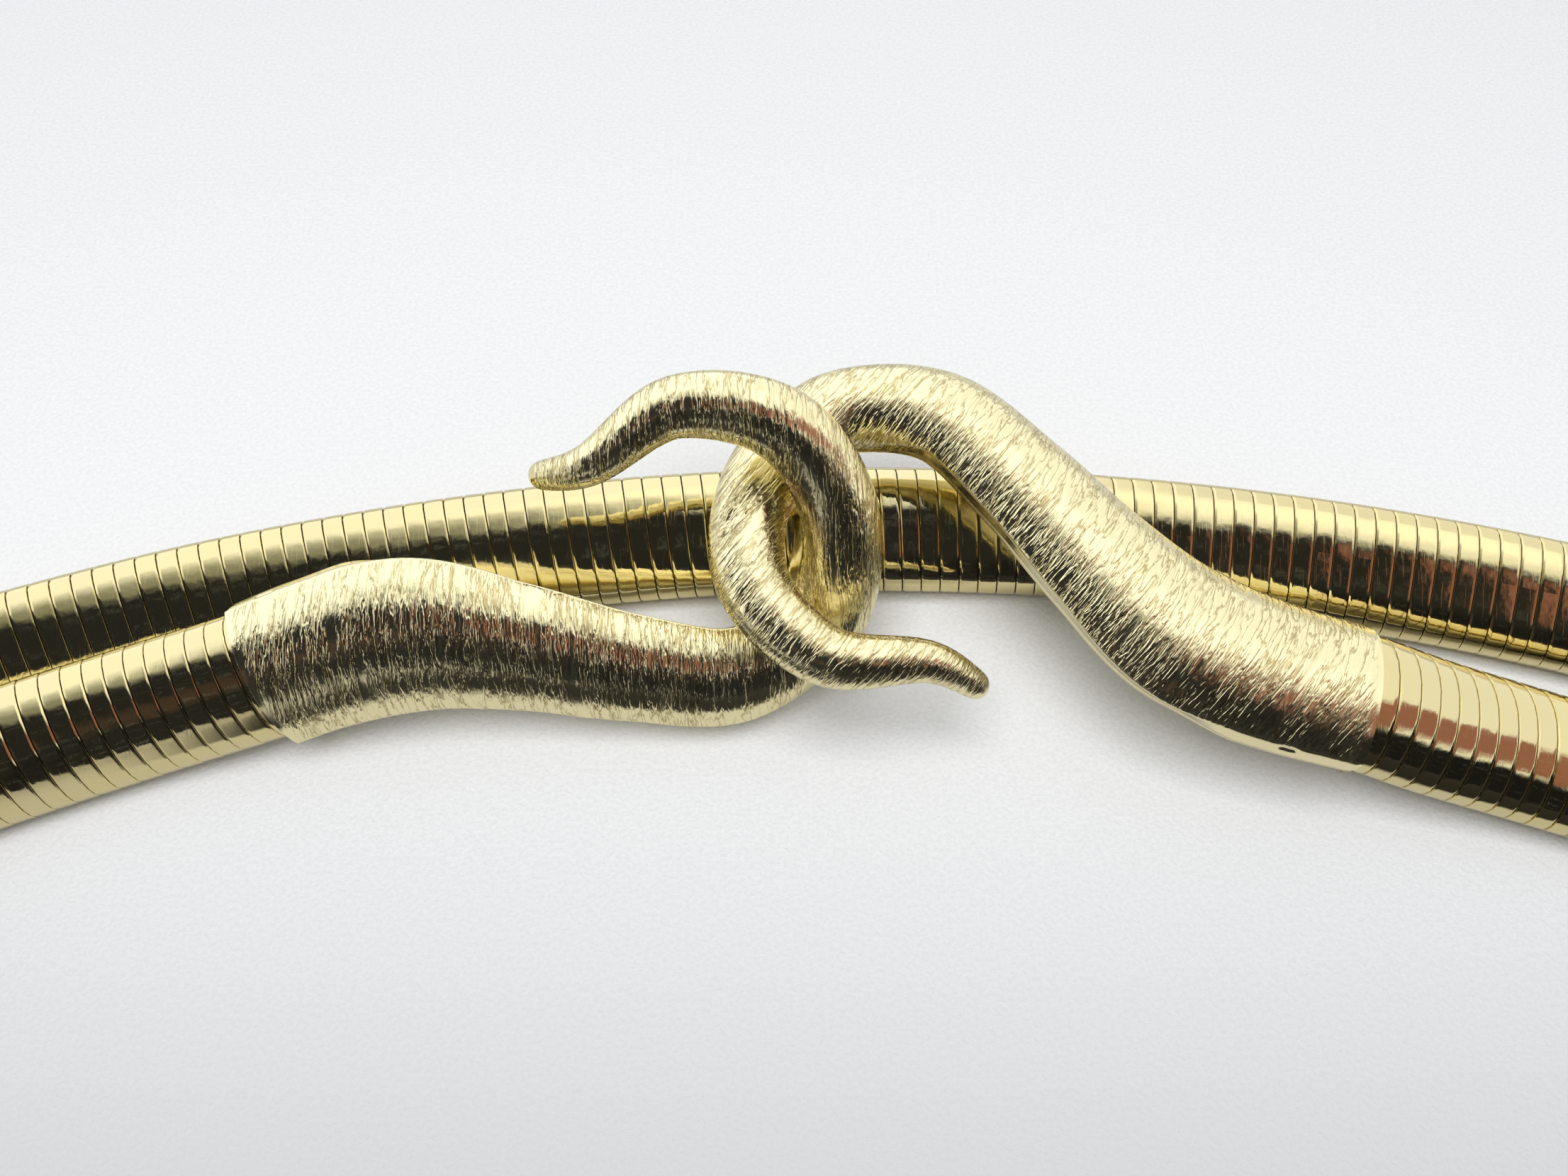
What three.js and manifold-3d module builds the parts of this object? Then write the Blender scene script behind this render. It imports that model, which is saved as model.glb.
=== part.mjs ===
// A coil belt, closed and laid down: a flexible tube of spirally wound metal strip whose two ends sit
// in the sockets of two like hooks, and the hooks hold each other. Millimetres, +Z up, and the surface
// that the belt lies on is z = 0. The clasp is on the -Y side, leaning on the back strand, and the
// loop is pressed flat into a long crescent with a round end on either side.
import * as THREE from 'three';
import { mergeVertices } from 'three/addons/utils/BufferGeometryUtils.js';
import Module from 'manifold-3d';

// The strap is an oval tube, flatter and squarer on the side that is innermost when worn. Inside the
// sockets its ends are pressed a little smaller.
const STRAP_HALF_WIDTH = 6.65;
const STRAP_OUTER_RISE = 4.35;
const STRAP_INNER_RISE = 3.45;
const INNER_SQUARENESS = 2.6;
const PRESSED_SHARE = 0.93;
const STRAP_SIDES = 16;
const STEPS_PER_ROW = 2;

// The socket of a hook: how deep the strap goes in, the depths between which the strap is pressed,
// and the clearance round it.
const SOCKET_DEPTH = 9;
const PRESSED_FROM = 0.5;
const PRESSED_TO = 4;
const SOCKET_DEPTHS = [0, 1.5, 3, 4.5, 6.5];
const CLEARANCE = 0.3;

// The back strand follows a circle whose highest point is the middle of the back.
const BACK_RADIUS = 250;
const BACK_MIDDLE_Y = 34.6;

// The hook is a faceted sweep: its sides, its lengthwise steps, and how its tip is rounded.
const HOOK_SIDES = 20;
const HOOK_STEPS = 46;
const TIP_STEPS = 5;
const TIP_ROUNDING = 1.4;
const TIP_FLAT = 0.06;

// The hook, from its socket to its tip. x and y are in the plane of its body, lift is out of that
// plane, and the cross-section is half wide to each side, front above the centre line and back below.
const HOOK = [
  { x: 0.0, y: 0.0, lift: 0.0, half: 7.3, front: 5.05, back: 5.0 },
  { x: 9.1, y: 2.4, lift: 0.0, half: 7.5, front: 5.4, back: 4.9 },
  { x: 18.1, y: 3.5, lift: 0.1, half: 7.85, front: 5.6, back: 4.5 },
  { x: 27.9, y: 1.1, lift: 0.0, half: 6.6, front: 5.2, back: 4.0 },
  { x: 37.8, y: -2.2, lift: 0.0, half: 5.65, front: 4.8, back: 3.6 },
  { x: 48.2, y: -4.3, lift: 0.0, half: 5.0, front: 4.4, back: 3.3 },
  { x: 57.0, y: 0.0, lift: 0.0, half: 4.3, front: 3.9, back: 2.85 },
  { x: 59.4, y: 10.2, lift: 1.2, half: 3.85, front: 3.55, back: 2.65 },
  { x: 55.0, y: 19.3, lift: 2.6, half: 3.6, front: 3.25, back: 2.55 },
  { x: 45.5, y: 22.2, lift: 3.2, half: 2.95, front: 2.8, back: 2.3 },
  { x: 36.8, y: 17.8, lift: 2.9, half: 2.0, front: 2.0, back: 1.7 },
  { x: 31.1, y: 16.7, lift: -0.7, half: 1.3, front: 1.2, back: 1.1 },
];

// Where each hook lies: the start of its line, measured from the middle of the back, the heading of
// its body round Z, how far the body's plane leans, its roll, in degrees, and how far from the start
// of the line its socket's mouth is filed off.
const HOOK_PLACES = {
  hook_left: { at: [-62.7, -19.7, 6.8], heading: 9.3, lean: 49, roll: -3.7, mouth: 3.5 },
  hook_right: { at: [44.2, -22.8, 9.2], heading: 148.7, lean: -14.7, roll: -9.7, mouth: 0.7 },
};

// The strap between the sockets, clockwise seen from above. along is the distance from the middle of
// the back, inset is how far inside the back's circle the centre line lies, face is how many degrees
// the side that is outermost when worn looks up, and lift is the height above lying on the surface.
const ROUTE = [
  { along: -76, inset: 11.2, face: 42, lift: 0.3 },
  { along: -90, inset: 11.7, face: 41, lift: 0 },
  { along: -110, inset: 12.5, face: 34, lift: 0 },
  { along: -130, inset: 16, face: 22, lift: 0 },
  { along: -146, inset: 23, face: 10, lift: 0 },
  { along: -160, inset: 27.5, face: 4, lift: 0 },
  { along: -172, inset: 22.5, face: 0, lift: 0 },
  { along: -177, inset: 11, face: -2, lift: 0 },
  { along: -172, inset: -0.5, face: -6, lift: 0 },
  { along: -160, inset: -5.5, face: -12, lift: 0 },
  { along: -143, inset: -4, face: -28, lift: 0 },
  { along: -122, inset: -1, face: -46, lift: 0 },
  { along: -100, inset: 0, face: -54, lift: 0 },
  { along: -67, inset: 0, face: -56.81, lift: 0 },
  { along: -33, inset: 0, face: -56.81, lift: 0 },
  { along: 0, inset: 0, face: -56.81, lift: 0 },
  { along: 33, inset: 0, face: -56.81, lift: 0 },
  { along: 67, inset: 0, face: -56.81, lift: 0 },
  { along: 100, inset: 0, face: -54, lift: 0 },
  { along: 122, inset: -1, face: -46, lift: 0 },
  { along: 143, inset: -4, face: -28, lift: 0 },
  { along: 160, inset: -5.5, face: -12, lift: 0 },
  { along: 172, inset: -0.5, face: -4, lift: 0 },
  { along: 177, inset: 11, face: 4, lift: 0 },
  { along: 172, inset: 22.5, face: 12, lift: 0 },
  { along: 160, inset: 27.5, face: 20, lift: 0 },
  { along: 143, inset: 26, face: 34, lift: 0 },
  { along: 122, inset: 21.5, face: 54, lift: 0 },
  { along: 100, inset: 19, face: 68, lift: 0 },
  { along: 80, inset: 18.5, face: 74, lift: 0.3 },
  { along: 66, inset: 18.4, face: 74, lift: 1.4 },
  { along: 55, inset: 18.7, face: 72, lift: 3.4 },
];

const UP = new THREE.Vector3(0, 0, 1);
const manifold = await Module();
manifold.setup();

// A round outline of radius 1, which the sweep scales to each cross-section
function unitOutline(sides) {
  const firstCorner = Math.PI / sides;
  const circle = new THREE.Shape();
  circle.absarc(0, 0, 1, firstCorner, firstCorner + 2 * Math.PI, false);
  return new THREE.Shape(circle.getSpacedPoints(sides).slice(0, sides));
}

// How far below the middle the back of a cross-section is, as a share of its back height. A
// squareness of 2 is a plain oval.
function backDepth(across, squareness) {
  return (1 - Math.abs(across) ** squareness) ** (1 / squareness);
}

// One closed solid through a row of cross-sections. Each has a centre, the directions of its width
// and of its front, and its half-width, front height and back height.
function sweep(sides, sections, backSquareness = 2) {
  const steps = sections.length - 1;
  const prism = new THREE.ExtrudeGeometry(unitOutline(sides), { depth: steps, steps, bevelEnabled: false });
  prism.deleteAttribute('normal');
  prism.deleteAttribute('uv');
  const solid = mergeVertices(prism);
  const corners = solid.attributes.position;
  const corner = new THREE.Vector3();
  for (let i = 0; i < corners.count; i++) {
    const section = sections[Math.round(corners.getZ(i))];
    const across = corners.getX(i);
    const up = corners.getY(i);
    const height = up > 0 ? up * section.front : -backDepth(across, backSquareness) * section.back;
    corner.copy(section.centre);
    corner.addScaledVector(section.wide, across * section.half);
    corner.addScaledVector(section.out, height);
    corners.setXYZ(i, corner.x, corner.y, corner.z);
  }
  return solid;
}

function asManifold(geometry) {
  const mesh = new manifold.Mesh({
    numProp: 3,
    vertProperties: new Float32Array(geometry.attributes.position.array),
    triVerts: new Uint32Array(geometry.index.array),
  });
  return new manifold.Manifold(mesh);
}

function asGeometry(solid) {
  const mesh = solid.getMesh();
  const geometry = new THREE.BufferGeometry();
  geometry.setAttribute('position', new THREE.BufferAttribute(mesh.vertProperties, 3));
  geometry.setIndex(new THREE.BufferAttribute(mesh.triVerts, 1));
  return geometry;
}

const hookLine = new THREE.CatmullRomCurve3(HOOK.map((s) => new THREE.Vector3(s.x, s.y, s.lift)));
const hookSizes = new THREE.CatmullRomCurve3(
  HOOK.map((s) => new THREE.Vector3(s.half, s.front, s.back)), false, 'catmullrom', 0.5);
hookLine.arcLengthDivisions = 400;
const hookLength = hookLine.getLength();

// The hook's cross-section at a distance from its socket's mouth, which may lie just outside it
function hookSection(distance) {
  const along = Math.max(distance, 0) / hookLength;
  const tangent = hookLine.getTangentAt(along);
  const centre = hookLine.getPointAt(along).addScaledVector(tangent, Math.min(distance, 0));
  const [half, front, back] = hookSizes.getPoint(hookLine.getUtoTmapping(along)).toArray();
  const wide = new THREE.Vector3().crossVectors(UP, tangent).normalize();
  const out = new THREE.Vector3().crossVectors(tangent, wide);
  return { centre, tangent, wide, out, half, front, back };
}

function hookGeometry(mouth) {
  const bodyEnd = hookLength - TIP_ROUNDING;
  const sections = [];
  for (let i = 0; i <= HOOK_STEPS; i++) {
    sections.push(hookSection(THREE.MathUtils.lerp(mouth, bodyEnd, i / HOOK_STEPS)));
  }
  for (let i = 1; i <= TIP_STEPS; i++) {
    const turn = (1 - TIP_FLAT) * (i / TIP_STEPS) * (Math.PI / 2);
    const section = hookSection(bodyEnd + TIP_ROUNDING * Math.sin(turn));
    for (const size of ['half', 'front', 'back']) section[size] *= Math.cos(turn);
    sections.push(section);
  }
  const body = asManifold(sweep(HOOK_SIDES, sections));
  const depths = [-CLEARANCE, ...SOCKET_DEPTHS, SOCKET_DEPTH];
  const boreSections = depths.map((depth) => boreSection(mouth, depth));
  const bore = asManifold(sweep(STRAP_SIDES, boreSections, INNER_SQUARENESS));
  return asGeometry(body.subtract(bore));
}

// How much of its full size the strap has at a depth inside the socket's mouth
function pressedShare(depth) {
  return THREE.MathUtils.lerp(1, PRESSED_SHARE, THREE.MathUtils.smoothstep(depth, PRESSED_FROM, PRESSED_TO));
}

function boreSection(mouth, depth) {
  const section = hookSection(mouth + depth);
  const share = pressedShare(depth);
  section.half = STRAP_HALF_WIDTH * share + CLEARANCE;
  section.front = STRAP_OUTER_RISE * share + CLEARANCE;
  section.back = STRAP_INNER_RISE * share + CLEARANCE;
  return section;
}

function hookMatrix(place) {
  const [lean, roll, heading] = [place.lean, place.roll, place.heading].map(THREE.MathUtils.degToRad);
  const turn = new THREE.Quaternion().setFromEuler(new THREE.Euler(lean, roll, heading, 'ZXY'));
  return new THREE.Matrix4().compose(new THREE.Vector3(...place.at), turn, new THREE.Vector3(1, 1, 1));
}

// The strap's cross-sections inside one hook's socket, from the mouth inwards
function socketSections(place) {
  const matrix = hookMatrix(place);
  return [...SOCKET_DEPTHS, SOCKET_DEPTH - CLEARANCE].map((depth) => {
    const section = hookSection(place.mouth + depth);
    section.centre.applyMatrix4(matrix);
    section.tangent.transformDirection(matrix);
    section.out.transformDirection(matrix);
    section.share = pressedShare(depth);
    return section;
  });
}

// Height of the strap's centre line where it lies on the surface, with its face turned up by an angle
function restingHeight(face) {
  const reach = unitOutline(STRAP_SIDES).getPoints().map(({ x, y }) => {
    const out = y > 0 ? y * STRAP_OUTER_RISE : -backDepth(x, INNER_SQUARENESS) * STRAP_INNER_RISE;
    return x * STRAP_HALF_WIDTH * Math.cos(face) - out * Math.sin(face);
  });
  return Math.max(...reach);
}

function routePoint(row) {
  const angle = row.along / BACK_RADIUS;
  const radius = BACK_RADIUS - row.inset;
  const height = restingHeight(THREE.MathUtils.degToRad(row.face)) + row.lift;
  return new THREE.Vector3(radius * Math.sin(angle), radius * Math.cos(angle) - BACK_RADIUS, height);
}

function strapGeometry() {
  const left = socketSections(HOOK_PLACES.hook_left);
  const right = socketSections(HOOK_PLACES.hook_right);
  const line = new THREE.CatmullRomCurve3([left[0].centre, ...ROUTE.map(routePoint), right[0].centre]);
  const firstFace = THREE.MathUtils.radToDeg(Math.asin(left[0].out.z));
  const lastFace = THREE.MathUtils.radToDeg(Math.asin(right[0].out.z));
  const faces = [firstFace, ...ROUTE.map((row) => row.face), lastFace];
  const faceLine = new THREE.CatmullRomCurve3(
    faces.map((face, i) => new THREE.Vector3(i, face, 0)), false, 'catmullrom', 0.5);
  const sections = left.toReversed().map((section) => strapSection(section.centre,
    section.tangent.clone().negate(), section.out, section.share));
  const steps = STEPS_PER_ROW * (ROUTE.length + 1);
  for (let i = 1; i < steps; i++) {
    const tangent = line.getTangent(i / steps);
    const face = THREE.MathUtils.degToRad(faceLine.getPoint(i / steps).y);
    const level = new THREE.Vector3().crossVectors(UP, tangent).normalize();
    const above = new THREE.Vector3().crossVectors(tangent, level);
    const out = level.multiplyScalar(Math.cos(face)).addScaledVector(above, Math.sin(face));
    sections.push(strapSection(line.getPoint(i / steps), tangent, out, 1));
  }
  for (const section of right) {
    sections.push(strapSection(section.centre, section.tangent, section.out, section.share));
  }
  return sweep(STRAP_SIDES, sections, INNER_SQUARENESS);
}

function strapSection(centre, tangent, out, share) {
  const wide = new THREE.Vector3().crossVectors(out, tangent).normalize();
  const half = STRAP_HALF_WIDTH * share;
  return { centre, wide, out, half, front: STRAP_OUTER_RISE * share, back: STRAP_INNER_RISE * share };
}

const satinGold = new THREE.MeshStandardMaterial({ color: 0xd9c98f, metalness: 1, roughness: 0.35 });
const polishedGold = new THREE.MeshStandardMaterial({ color: 0xd8b765, metalness: 1, roughness: 0.1 });

const belt = new THREE.Group();
belt.position.y = BACK_MIDDLE_Y;

function addPiece(name, geometry, material) {
  geometry.computeVertexNormals();
  const piece = new THREE.Mesh(geometry, material);
  piece.name = name;
  belt.add(piece);
  return piece;
}

for (const [name, place] of Object.entries(HOOK_PLACES)) {
  const hook = addPiece(name, hookGeometry(place.mouth), satinGold);
  hookMatrix(place).decompose(hook.position, hook.quaternion, hook.scale);
}
addPiece('coil_strap', strapGeometry(), polishedGold);

export default belt;
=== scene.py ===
import math
from bisect import bisect
from itertools import accumulate

import bpy
from mathutils import Euler, Matrix, Vector
from mathutils.geometry import interpolate_bezier


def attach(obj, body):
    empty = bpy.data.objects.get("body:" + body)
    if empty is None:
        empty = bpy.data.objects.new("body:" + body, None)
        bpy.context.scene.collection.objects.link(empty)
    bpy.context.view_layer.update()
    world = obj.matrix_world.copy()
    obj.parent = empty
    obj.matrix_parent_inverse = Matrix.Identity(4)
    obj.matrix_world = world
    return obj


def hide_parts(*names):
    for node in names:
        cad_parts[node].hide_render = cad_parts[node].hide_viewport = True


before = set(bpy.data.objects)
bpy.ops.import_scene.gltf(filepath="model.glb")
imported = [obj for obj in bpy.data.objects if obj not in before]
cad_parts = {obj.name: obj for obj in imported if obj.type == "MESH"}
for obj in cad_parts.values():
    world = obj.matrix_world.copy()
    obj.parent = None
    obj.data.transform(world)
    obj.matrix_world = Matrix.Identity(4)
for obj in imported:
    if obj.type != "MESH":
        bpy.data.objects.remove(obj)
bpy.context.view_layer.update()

# The belt is measured in millimetres, and the scene is in metres.
MM = 0.001

# The strap is an oval tube of spirally wound strip, flatter on the side that is innermost when worn.
STRAP_HALF_WIDTH = 6.55
STRAP_OUTER_RISE = 4.28
STRAP_INNER_RISE = 3.4
INNER_SQUARENESS = 2.6
TURN_PITCH = 2.0
TURN_STEPS = 26

# One turn of the strip in profile, from seam to seam: how far along, as a share of the pitch, and how
# high above or below the tube's own oval, as a share of the oval's size.
SEAM_DEPTH = 0.04
TURN_PROFILE = [
    {"along": 0.0, "height": -SEAM_DEPTH},
    {"along": 0.03, "height": -0.013},
    {"along": 0.10, "height": -0.002},
    {"along": 0.14, "height": -0.0004},
    {"along": 0.2, "height": 0.0},
    {"along": 0.84, "height": -0.0002},
    {"along": 0.91, "height": -0.0008},
    {"along": 0.96, "height": -0.005},
    {"along": 1.0, "height": -SEAM_DEPTH},
]

# Which way round its line the strap is wound, and how far each turn is set askew
WINDING = -1
ASKEW = 0.032

# The back strand follows a circle whose highest point is the middle of the back.
BACK_RADIUS = 250
BACK_MIDDLE = Vector((0, 34.6, 0))

# The hook, from its socket to its tip. x and y are in the plane of its body, lift is out of that
# plane, and the cross-section is half wide to each side, front above the centre line and back below.
HOOK = [
    {"x": 0.0, "y": 0.0, "lift": 0.0, "half": 7.3, "front": 5.05, "back": 5.0},
    {"x": 9.1, "y": 2.4, "lift": 0.0, "half": 7.5, "front": 5.4, "back": 4.9},
    {"x": 18.1, "y": 3.5, "lift": 0.1, "half": 7.85, "front": 5.6, "back": 4.5},
    {"x": 27.9, "y": 1.1, "lift": 0.0, "half": 6.6, "front": 5.2, "back": 4.0},
    {"x": 37.8, "y": -2.2, "lift": 0.0, "half": 5.65, "front": 4.8, "back": 3.6},
    {"x": 48.2, "y": -4.3, "lift": 0.0, "half": 5.0, "front": 4.4, "back": 3.3},
    {"x": 57.0, "y": 0.0, "lift": 0.0, "half": 4.3, "front": 3.9, "back": 2.85},
    {"x": 59.4, "y": 10.2, "lift": 1.2, "half": 3.85, "front": 3.55, "back": 2.65},
    {"x": 55.0, "y": 19.3, "lift": 2.6, "half": 3.6, "front": 3.25, "back": 2.55},
    {"x": 45.5, "y": 22.2, "lift": 3.2, "half": 2.95, "front": 2.8, "back": 2.3},
    {"x": 36.8, "y": 17.8, "lift": 2.9, "half": 2.0, "front": 2.0, "back": 1.7},
    {"x": 31.1, "y": 16.7, "lift": -0.7, "half": 1.3, "front": 1.2, "back": 1.1},
]

# Where each hook lies: the start of its line, measured from the middle of the back, the heading of
# its body round Z, how far the body's plane leans, its roll, in degrees, and how far from the start
# of the line its socket's mouth is filed off. across is the direction that runs across its grain, and
# twist is how many degrees the outside of its body is turned round its line.
HOOK_PLACES = {
    "hook_left": {
        "at": (-62.7, -19.7, 6.8), "heading": 9.3, "lean": 49, "roll": -3.7, "mouth": 3.5,
        "across": (1, 0.02, 0.01), "twist": 0,
    },
    "hook_right": {
        "at": (44.2, -22.8, 9.2), "heading": 148.7, "lean": -14.7, "roll": -9.7, "mouth": 0.7,
        "across": (0.79, -0.52, -0.34), "twist": 12,
    },
}

# The strap between the sockets, clockwise seen from above. along is the distance from the middle of
# the back, inset is how far inside the back's circle the centre line lies, face is how many degrees
# the side that is outermost when worn looks up, and lift is the height above lying on the floor.
ROUTE = [
    {"along": -76, "inset": 11.2, "face": 42, "lift": 0.3},
    {"along": -90, "inset": 11.7, "face": 41, "lift": 0},
    {"along": -110, "inset": 12.5, "face": 34, "lift": 0},
    {"along": -130, "inset": 16, "face": 22, "lift": 0},
    {"along": -146, "inset": 23, "face": 10, "lift": 0},
    {"along": -160, "inset": 27.5, "face": 4, "lift": 0},
    {"along": -172, "inset": 22.5, "face": 0, "lift": 0},
    {"along": -177, "inset": 11, "face": -2, "lift": 0},
    {"along": -172, "inset": -0.5, "face": -6, "lift": 0},
    {"along": -160, "inset": -5.5, "face": -12, "lift": 0},
    {"along": -143, "inset": -4, "face": -28, "lift": 0},
    {"along": -122, "inset": -1, "face": -46, "lift": 0},
    {"along": -100, "inset": 0, "face": -54, "lift": 0},
    {"along": -67, "inset": 0, "face": -56.81, "lift": 0},
    {"along": -33, "inset": 0, "face": -56.81, "lift": 0},
    {"along": 0, "inset": 0, "face": -56.81, "lift": 0},
    {"along": 33, "inset": 0, "face": -56.81, "lift": 0},
    {"along": 67, "inset": 0, "face": -56.81, "lift": 0},
    {"along": 100, "inset": 0, "face": -54, "lift": 0},
    {"along": 122, "inset": -1, "face": -46, "lift": 0},
    {"along": 143, "inset": -4, "face": -28, "lift": 0},
    {"along": 160, "inset": -5.5, "face": -12, "lift": 0},
    {"along": 172, "inset": -0.5, "face": -4, "lift": 0},
    {"along": 177, "inset": 11, "face": 4, "lift": 0},
    {"along": 172, "inset": 22.5, "face": 12, "lift": 0},
    {"along": 160, "inset": 27.5, "face": 20, "lift": 0},
    {"along": 143, "inset": 26, "face": 34, "lift": 0},
    {"along": 122, "inset": 21.5, "face": 54, "lift": 0},
    {"along": 100, "inset": 19, "face": 68, "lift": 0},
    {"along": 80, "inset": 18.5, "face": 74, "lift": 0.3},
    {"along": 66, "inset": 18.4, "face": 74, "lift": 1.4},
    {"along": 55, "inset": 18.7, "face": 72, "lift": 3.4},
]

# How deep a socket is, and the room that it leaves round the strap and past its end, in millimetres.
SOCKET_DEPTH = 9
SOCKET_ROOM = 0.12
SOCKET_END_ROOM = 0.5

# A hook's body is a low dome over a shoulder. at is how far round from the side the shoulder starts and
# slope how steep the dome is there, in degrees, and width how wide the body is, as a share of HOOK's
# half. Past the socket the sides below are drawn in by a share. The shoulder runs out before the curl.
SHOULDER = {"at": 20, "slope": 50, "width": 0.975, "drawn_in": 0.13, "end": 58, "run_out": 10}

# The bark-like grain on the front of a hook, in millimetres: the ridges' spacing, length and height,
# and how far from the mouth and the tip it starts and is full. level is the share of the height that is
# cut in instead of raised. The edges are how far round the bar the grain starts, in degrees.
GRAIN_SPACING = 0.5
GRAIN_LENGTH = 3.4
GRAIN_HEIGHT = 0.021
GRAIN_LEVEL = 0.5
GRAIN_EDGE = {"body": 17, "curl": -50, "rise": 10}
GRAIN_MOUTH = {"from": 0.25, "full": 1.1}
GRAIN_TIP = {"from": 1.0, "full": 2.2}

# The smooth flat rim along the edge of the back beside the socket, and a small notch in it. Angles are
# in degrees: where the rim starts below, and how far below the shoulder it ends.
RIM_ANGLES = {"from": -14, "full": -9}
RIM_TOP = {"from": 1, "full": 4}
RIM_MOUTH = {"from": 0.1, "full": 0.5}
RIM_LENGTH = 16
RIM_RUN_OUT = 6
RIM_HEIGHT = 0.12
NOTCH = {"distance": 7.2, "length": 1.5, "at": 14, "angle": 2.5, "depth": 0.3}
NOTCH_SOFTNESS = {"along": 0.1, "around": 1}

# How finely the lines and the hooks are stepped, and how often a hook's faces are halved
LINE_STEPS = 12
HOOK_SIDES = 16
HOOK_RINGS = 66
HOOK_SMOOTHING = 3

# Corners nearer to each other than this are merged, in millimetres: as a piece is made, and once the
# strap is cut to length.
SAME_CORNER = 0.002
SAME_END_CORNER = 0.005

# Corners within this share of a bar's own section belong to its bore.
BORE_SHARE = 0.94

# Corners this near to the middle line of a bar's first ring, of radius 1, belong to both its halves.
MIDDLE_LINE = 0.001

# The strap's section is flattened as it is at this share of its half width, from there to its very edge.
NEAR_EDGE = 0.995

# Edges of the strap that turn more than this, in degrees, stay sharp.
SHARP_EDGE = 35

# The hooks' tips and the mouths of their sockets are rounded, in millimetres.
TIP_ROUNDING = 1.4
TIP_RINGS = 4
MOUTH_ROUNDING = 0.12

# The metal's tones: the strap's, which vary from turn to turn, the hooks' front and the hooks' back, each
# plain and where the plating is dull, and the darker tone deep in the seams and the colour of the furrows.
STRAP_TONES = {"turns": ((0.8, 0.69, 0.36, 1), (0.77, 0.67, 0.38, 1)), "dull": (0.7, 0.57, 0.29, 1)}
FRONT_TONES = {"plain": (0.96, 0.87, 0.53, 1), "dull": (0.9, 0.78, 0.42, 1)}
BACK_TONES = {"plain": (0.92, 0.83, 0.5, 1), "dull": (0.84, 0.71, 0.38, 1)}
SEAM_DARK_TONE = (0.1, 0.065, 0.02, 1)
FURROW_TONE = (0.52, 0.42, 0.2, 1)

# How worn each finish is, and how rough where it is plain, with what the seams' darker tone, furrows and
# scratches add
WEAR = {
    "strap": {"scratches": 0.5, "clouds": 0.05},
    "front": {"scratches": 0.3, "clouds": 0.1},
    "back": {"scratches": 0.8, "clouds": 0.15},
}
ROUGHNESS = {"strap": 0.05, "front": 0.1, "back": 0.2, "table": 0.7}
ADDED_ROUGHNESS = {"seam_darkening": 0.35, "furrow": 0.12, "scratch": 0.12}

# How high the bumps in the materials are, in metres
BUMPS = {"strap_wear": 0.000004, "hook_wear": 0.00001, "dents": 0.000035, "bark": 0.00005, "tooth": 0.0002}

# The middle of a noise, and the noise's values at which a cloud or a scratch starts and is full. There are
# three sets of scratches, each turned its own way, and they are far finer across than along.
NOISE_MIDDLE = 0.5
CLOUDS = {"from": 0.35, "full": 0.75}
SCRATCHES = {"from": 0.68, "full": 0.74, "scale": (5200, 260, 260)}
SCRATCH_TURNS = ((0.3, 0.2, 0.9), (1.2, 0.5, 2.3), (0.6, 1.4, -0.5))

# The bark's pattern: how far it wavers, how wide the edges of its ridges and creases are, how high the
# creases and the ridges' own unevenness are beside the ridges, the noise's values between which it
# deepens, and how narrow the dark furrows are.
BARK = {
    "waviness": 0.9, "ridge_edge": 0.11, "crease_edge": 0.09, "creases": 0.3, "unevenness": 0.12,
    "shallow": 0.2, "deep": 0.5, "narrowness": 7.0,
}

# The shares of a seam's depth at which its darker tone starts and is full
SEAM_DARKENING = {"from": 0.35, "full": 0.9}

# What the metal reflects: soft-edged areas of the surround, each with its bounds in degrees, sideways
# from the middle and up from the near horizon over the top, and its colour. Later areas lie over
# earlier ones. Past them all it reflects REFLECTED_LIGHT, and all else sees EVEN_LIGHT.
EVEN_LIGHT = (0.43, 0.438, 0.446)
REFLECTED_LIGHT = (1.05, 1.06, 1.07)
REFLECTED_AREAS = [
    {"left": -70, "right": 14, "low": 78, "high": 230, "soft": 12, "colour": (1.3, 1.34, 1.4)},
    {"left": -8, "right": 30, "low": 84, "high": 112, "soft": 12, "colour": (1.45, 1.45, 1.42)},
    {"left": -28, "right": 4, "low": 50, "high": 92, "soft": 24, "colour": (0.3, 0.31, 0.27)},
    {"left": -60, "right": 28, "low": -30, "high": 72, "soft": 10, "colour": (0.022, 0.023, 0.026)},
    {"left": 14, "right": 34, "low": 40, "high": 67, "soft": 4, "colour": (0.3, 0.14, 0.11)},
    {"left": 28, "right": 70, "low": 44, "high": 76, "soft": 7, "colour": (0.36, 0.17, 0.14)},
    {"left": -34, "right": -6, "low": 28, "high": 42, "soft": 8, "colour": (0.065, 0.045, 0.04)},
    {"left": 4, "right": 70, "low": -30, "high": 36, "soft": 8, "colour": (0.012, 0.012, 0.014)},
]

# How far the edges of those areas waver, in radians, and the faint flecks over them
RIPPLE = {"sideways": 0.12, "upwards": 0.3}
FLECKS = {"from": 0.56, "full": 0.72, "colour": (0.06, 0.065, 0.075, 1)}

# The table: how wide it is, in metres, its fine tooth, the two tones that the tooth mixes, and the shade
# over them, which grows towards the viewer between two places on Y, in metres.
TABLE_SIZE = 3
TOOTH = {"from": 0.3, "full": 0.7, "strength": 0.6}
TABLE_TONES = ((0.83, 0.835, 0.845, 1), (0.89, 0.895, 0.905, 1))
TABLE_SHADE = (0.56, 0.56, 0.57, 1)
NEAR_SHADE = {"from": 0.025, "full": -0.05}
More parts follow.
